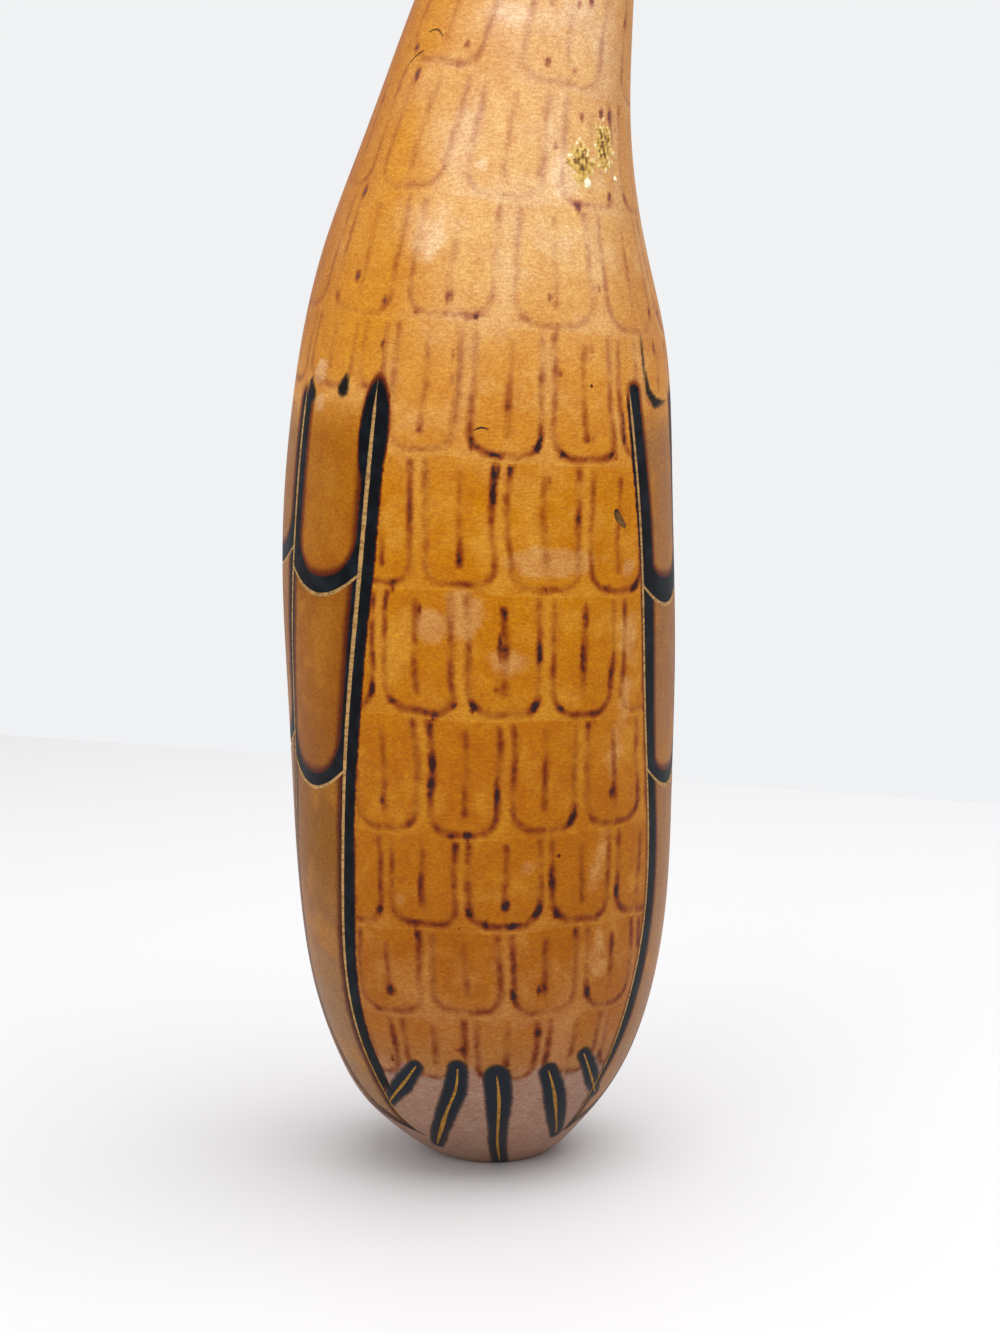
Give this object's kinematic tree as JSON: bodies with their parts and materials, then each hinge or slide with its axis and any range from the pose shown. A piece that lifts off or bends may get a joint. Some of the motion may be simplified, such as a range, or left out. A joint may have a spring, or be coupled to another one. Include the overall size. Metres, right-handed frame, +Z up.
{
  "type": "dried bottle gourd",
  "caption": "Dried bottle gourd standing on a small sanded foot, with a long round belly, a leaning tapered neck and a short woody stem, its skin burned and carved with plumage.",
  "frame": {"origin": "middle of the flat foot that the gourd stands on", "axes": "+Z up, from the foot to the stem; -Y towards the side that shows the back plumage; the neck leans towards +X"},
  "size_m": [0.128, 0.1089, 0.4491],
  "materials": {
    "gourd_skin": "dried gourd skin, dyed amber, burned with dark brown and black lines, and varnished to a soft gloss"
  },
  "bodies": {
    "root": {"gourd": "gourd_skin"}
  },
  "joints": []
}
